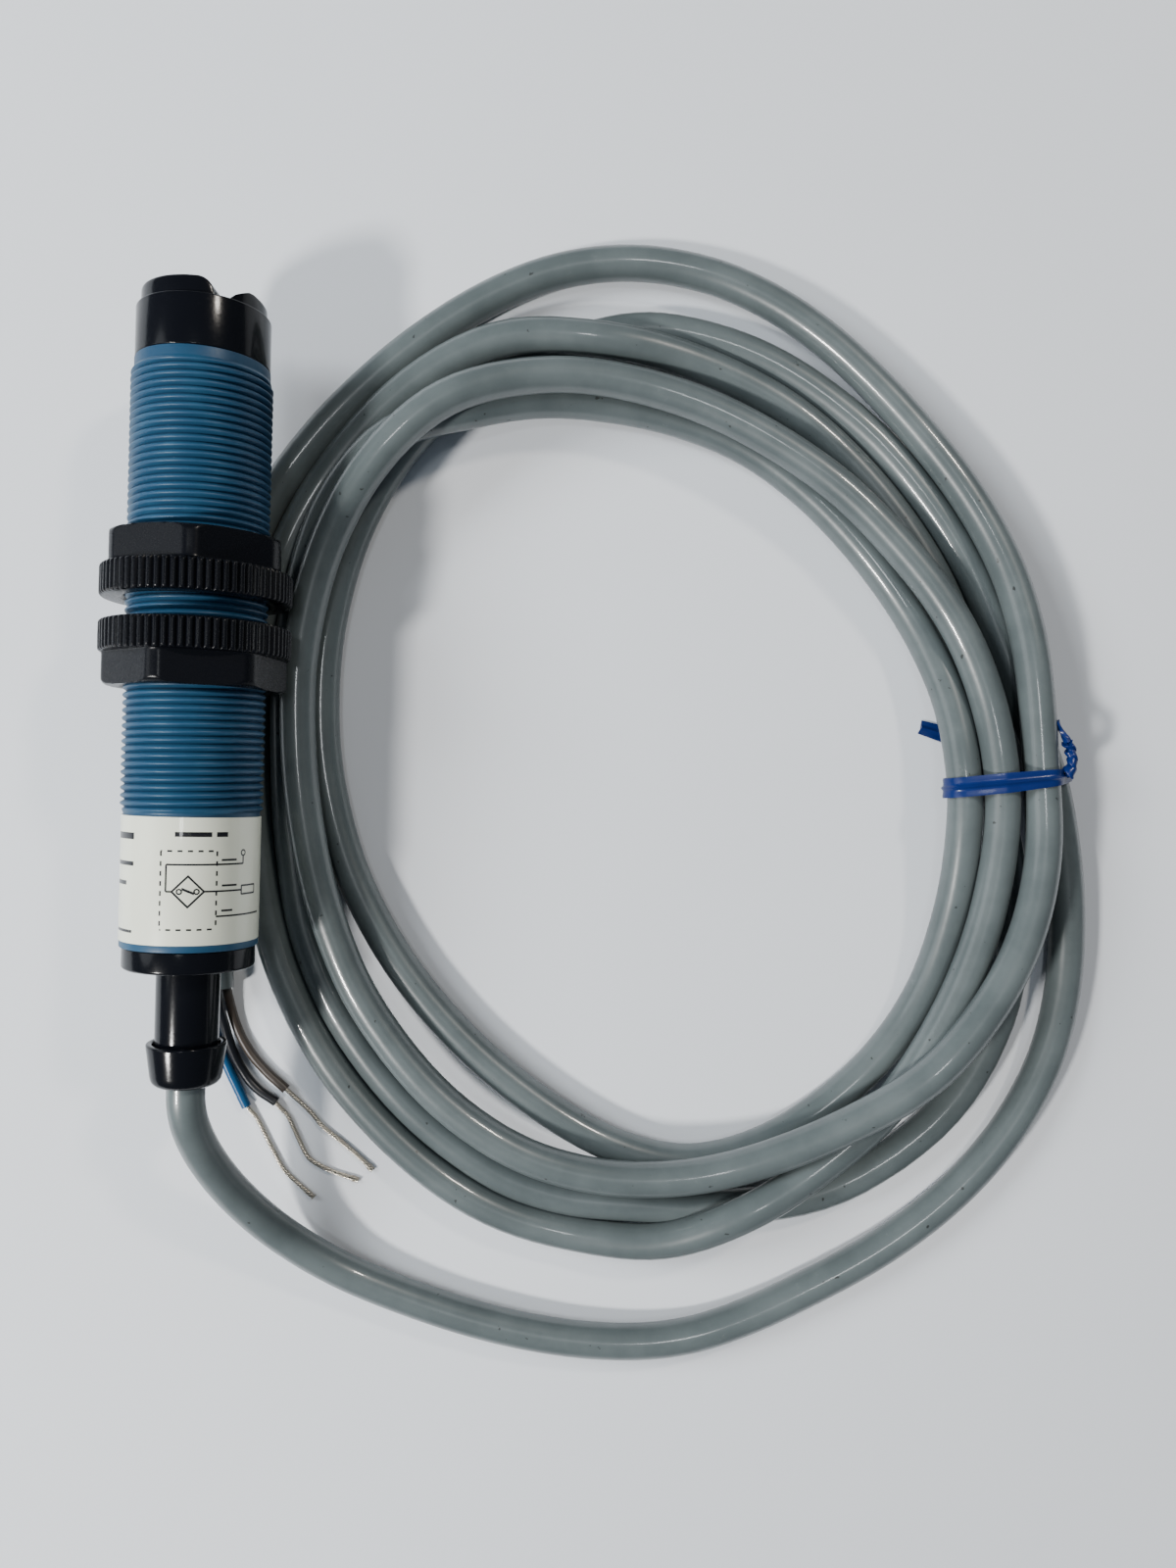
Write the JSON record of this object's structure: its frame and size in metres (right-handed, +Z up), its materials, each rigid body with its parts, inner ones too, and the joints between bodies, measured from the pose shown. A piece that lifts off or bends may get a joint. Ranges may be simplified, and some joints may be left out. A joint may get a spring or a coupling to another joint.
{
  "type": "photoelectric sensor",
  "caption": "Threaded tubular photoelectric proximity sensor with two knurled lock nuts, a moulded cable with bare conductors, and the cable tied in an oval coil.",
  "frame": {"origin": "middle of the sensor on its own axis, halfway between the bezel's top and the collar's end", "axes": "+Y along the sensor's axis towards its head, +Z up from the surface that the cable lies on, +X towards the cable coil"},
  "size_m": [0.1377, 0.1635, 0.0297],
  "materials": {
    "barrel_blue": "satin moulded plastic",
    "gloss_black": "glossy moulded plastic",
    "nut_black": "satin moulded plastic",
    "lens": "clear polished plastic",
    "seal_rubber": "smooth rubber",
    "inner_black": "matt moulded plastic",
    "led_resin": "tinted resin",
    "chip_black": "moulded chip resin",
    "chip_tan": "ceramic",
    "board": "green solder resist",
    "tinned_steel": "tinned sheet",
    "tinned_copper": "tinned copper",
    "can": "sleeved can",
    "label_film": "glossy printed film",
    "potting": "cast resin",
    "cable_grey": "semi-gloss flexible jacket",
    "wire_brown": "insulation",
    "wire_black": "insulation",
    "wire_blue": "insulation",
    "tie_blue": "soft ribbon plastic"
  },
  "bodies": {
    "sensor": {"barrel": "barrel_blue", "front_cap": "gloss_black", "receiver_lens": "lens", "emitter_lens": "lens", "front_seal": "seal_rubber", "optics_block": "inner_black", "emitter_led": "led_resin", "receiver_photodiode": "chip_black", "optics_board": "board", "shield_sleeve": "tinned_steel", "main_board": "board", "board_pins": "tinned_copper", "detector_chip": "chip_black", "output_switch": "chip_black", "suppressor_diode": "chip_black", "reservoir_capacitor": "can", "chip_resistors": "chip_black", "chip_capacitors": "chip_tan", "label": "label_film", "rear_cap": "gloss_black", "rear_seal": "seal_rubber", "potting_plug": "potting", "strain_relief": "gloss_black", "relief_collar": "gloss_black", "jacket_end": "cable_grey", "lead_brown": "wire_brown", "lead_black": "wire_black", "lead_blue": "wire_blue", "cable_exit": "cable_grey", "cable_coil": "cable_grey", "cable_tail": "cable_grey", "wire_brown": "wire_brown", "wire_black": "wire_black", "wire_blue": "wire_blue", "strands_brown": "tinned_copper", "strands_black": "tinned_copper", "strands_blue": "tinned_copper", "coil_tie": "tie_blue"},
    "front_nut": {"front_nut": "nut_black"},
    "rear_nut": {"rear_nut": "nut_black"}
  },
  "joints": [
    {"name": "front_nut_travel", "type": "slide", "parent": "sensor", "child": "front_nut", "axis": [0, 1, 0], "range_m": [-0.001, 0.021]},
    {"name": "rear_nut_travel", "type": "slide", "parent": "sensor", "child": "rear_nut", "axis": [0, 1, 0], "range_m": [-0.016, 0.001]}
  ]
}
